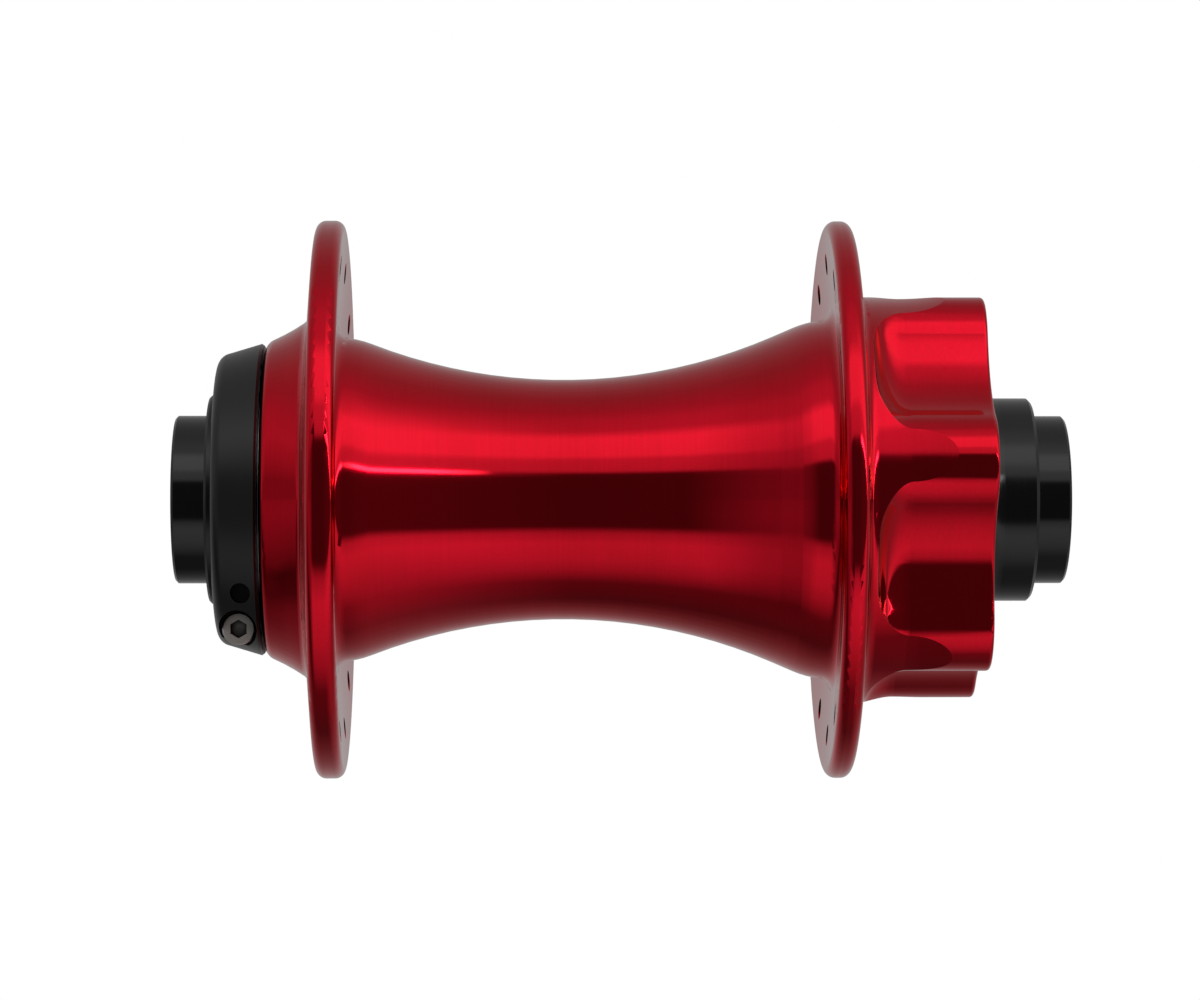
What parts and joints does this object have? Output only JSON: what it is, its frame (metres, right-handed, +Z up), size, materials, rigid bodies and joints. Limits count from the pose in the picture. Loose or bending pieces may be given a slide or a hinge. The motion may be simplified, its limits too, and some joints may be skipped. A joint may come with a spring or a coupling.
{
  "type": "bicycle front disc-brake hub",
  "caption": "Front wheel hub for a thru-axle and a bolted disc rotor, with a waisted shell turning on sealed bearings and a clamp collar that sets their preload.",
  "frame": {"origin": "the hub's centre, on the axle's axis, midway between the two end faces", "axes": "+Y along the axle towards the disc side, +Z up, +X forwards"},
  "size_m": [0.069, 0.11, 0.069],
  "materials": {
    "red_anodised": "polished, red anodised",
    "black_anodised": "satin, black anodised",
    "bare_aluminium": "turned",
    "stainless": "machined stainless",
    "bearing_steel": "ground",
    "polished_steel": "polished",
    "spring_steel": "dark spring steel",
    "cage_plastic": "moulded",
    "seal_rubber": "moulded",
    "nitrile": "smooth"
  },
  "bodies": {
    "axle": {"axle": "black_anodised", "clamp_side_axle_o_ring": "nitrile", "disc_side_axle_o_ring": "nitrile", "clamp_side_bearing_inner_race": "bearing_steel", "disc_side_bearing_inner_race": "bearing_steel"},
    "hub": {"hub_shell": "red_anodised", "clamp_side_bearing_outer_race": "bearing_steel", "clamp_side_bearing_outer_seal": "seal_rubber", "clamp_side_bearing_inner_seal": "seal_rubber", "clamp_side_bearing_snap_ring": "spring_steel", "disc_side_bearing_outer_race": "bearing_steel", "disc_side_bearing_outer_seal": "seal_rubber", "disc_side_bearing_inner_seal": "seal_rubber", "disc_side_bearing_snap_ring": "spring_steel"},
    "clamp_side_ball_set": {"clamp_side_bearing_balls": "polished_steel", "clamp_side_bearing_cage": "cage_plastic"},
    "disc_side_ball_set": {"disc_side_bearing_balls": "polished_steel", "disc_side_bearing_cage": "cage_plastic"},
    "preload_ring": {"preload_cone": "bare_aluminium", "cone_o_ring": "nitrile"},
    "adjuster": {"adjuster_clamp": "black_anodised"},
    "pinch_bolt": {"clamp_bolt": "stainless"}
  },
  "joints": [
    {"name": "hub_spin", "type": "hinge", "parent": "axle", "child": "hub", "pos_m": [0, 0, 0], "axis": [0, 1, 0], "continuous": true},
    {"name": "clamp_side_balls_roll", "type": "hinge", "parent": "axle", "child": "clamp_side_ball_set", "pos_m": [0, -0.0385, 0], "axis": [0, 1, 0], "continuous": true},
    {"name": "disc_side_balls_roll", "type": "hinge", "parent": "axle", "child": "disc_side_ball_set", "pos_m": [0, 0.0385, 0], "axis": [0, 1, 0], "continuous": true},
    {"name": "preload_travel", "type": "slide", "parent": "axle", "child": "preload_ring", "axis": [0, -1, 0], "range_m": [0, 0.00151]},
    {"name": "adjuster_turn", "type": "hinge", "parent": "preload_ring", "child": "adjuster", "pos_m": [0, -0.047, 0], "axis": [0, -1, 0], "range_deg": [0, 540]},
    {"name": "pinch_bolt_turn", "type": "hinge", "parent": "adjuster", "child": "pinch_bolt", "pos_m": [0, -0.04682, -0.0158], "axis": [1, 0, 0], "range_deg": [0, 540]}
  ],
  "couplings": [
    {"joint": "clamp_side_balls_roll", "follows": "hub_spin", "ratio": 0.56071},
    {"joint": "disc_side_balls_roll", "follows": "hub_spin", "ratio": 0.56071},
    {"joint": "preload_travel", "follows": "adjuster_turn", "m_per_rad": 0.00015915}
  ]
}
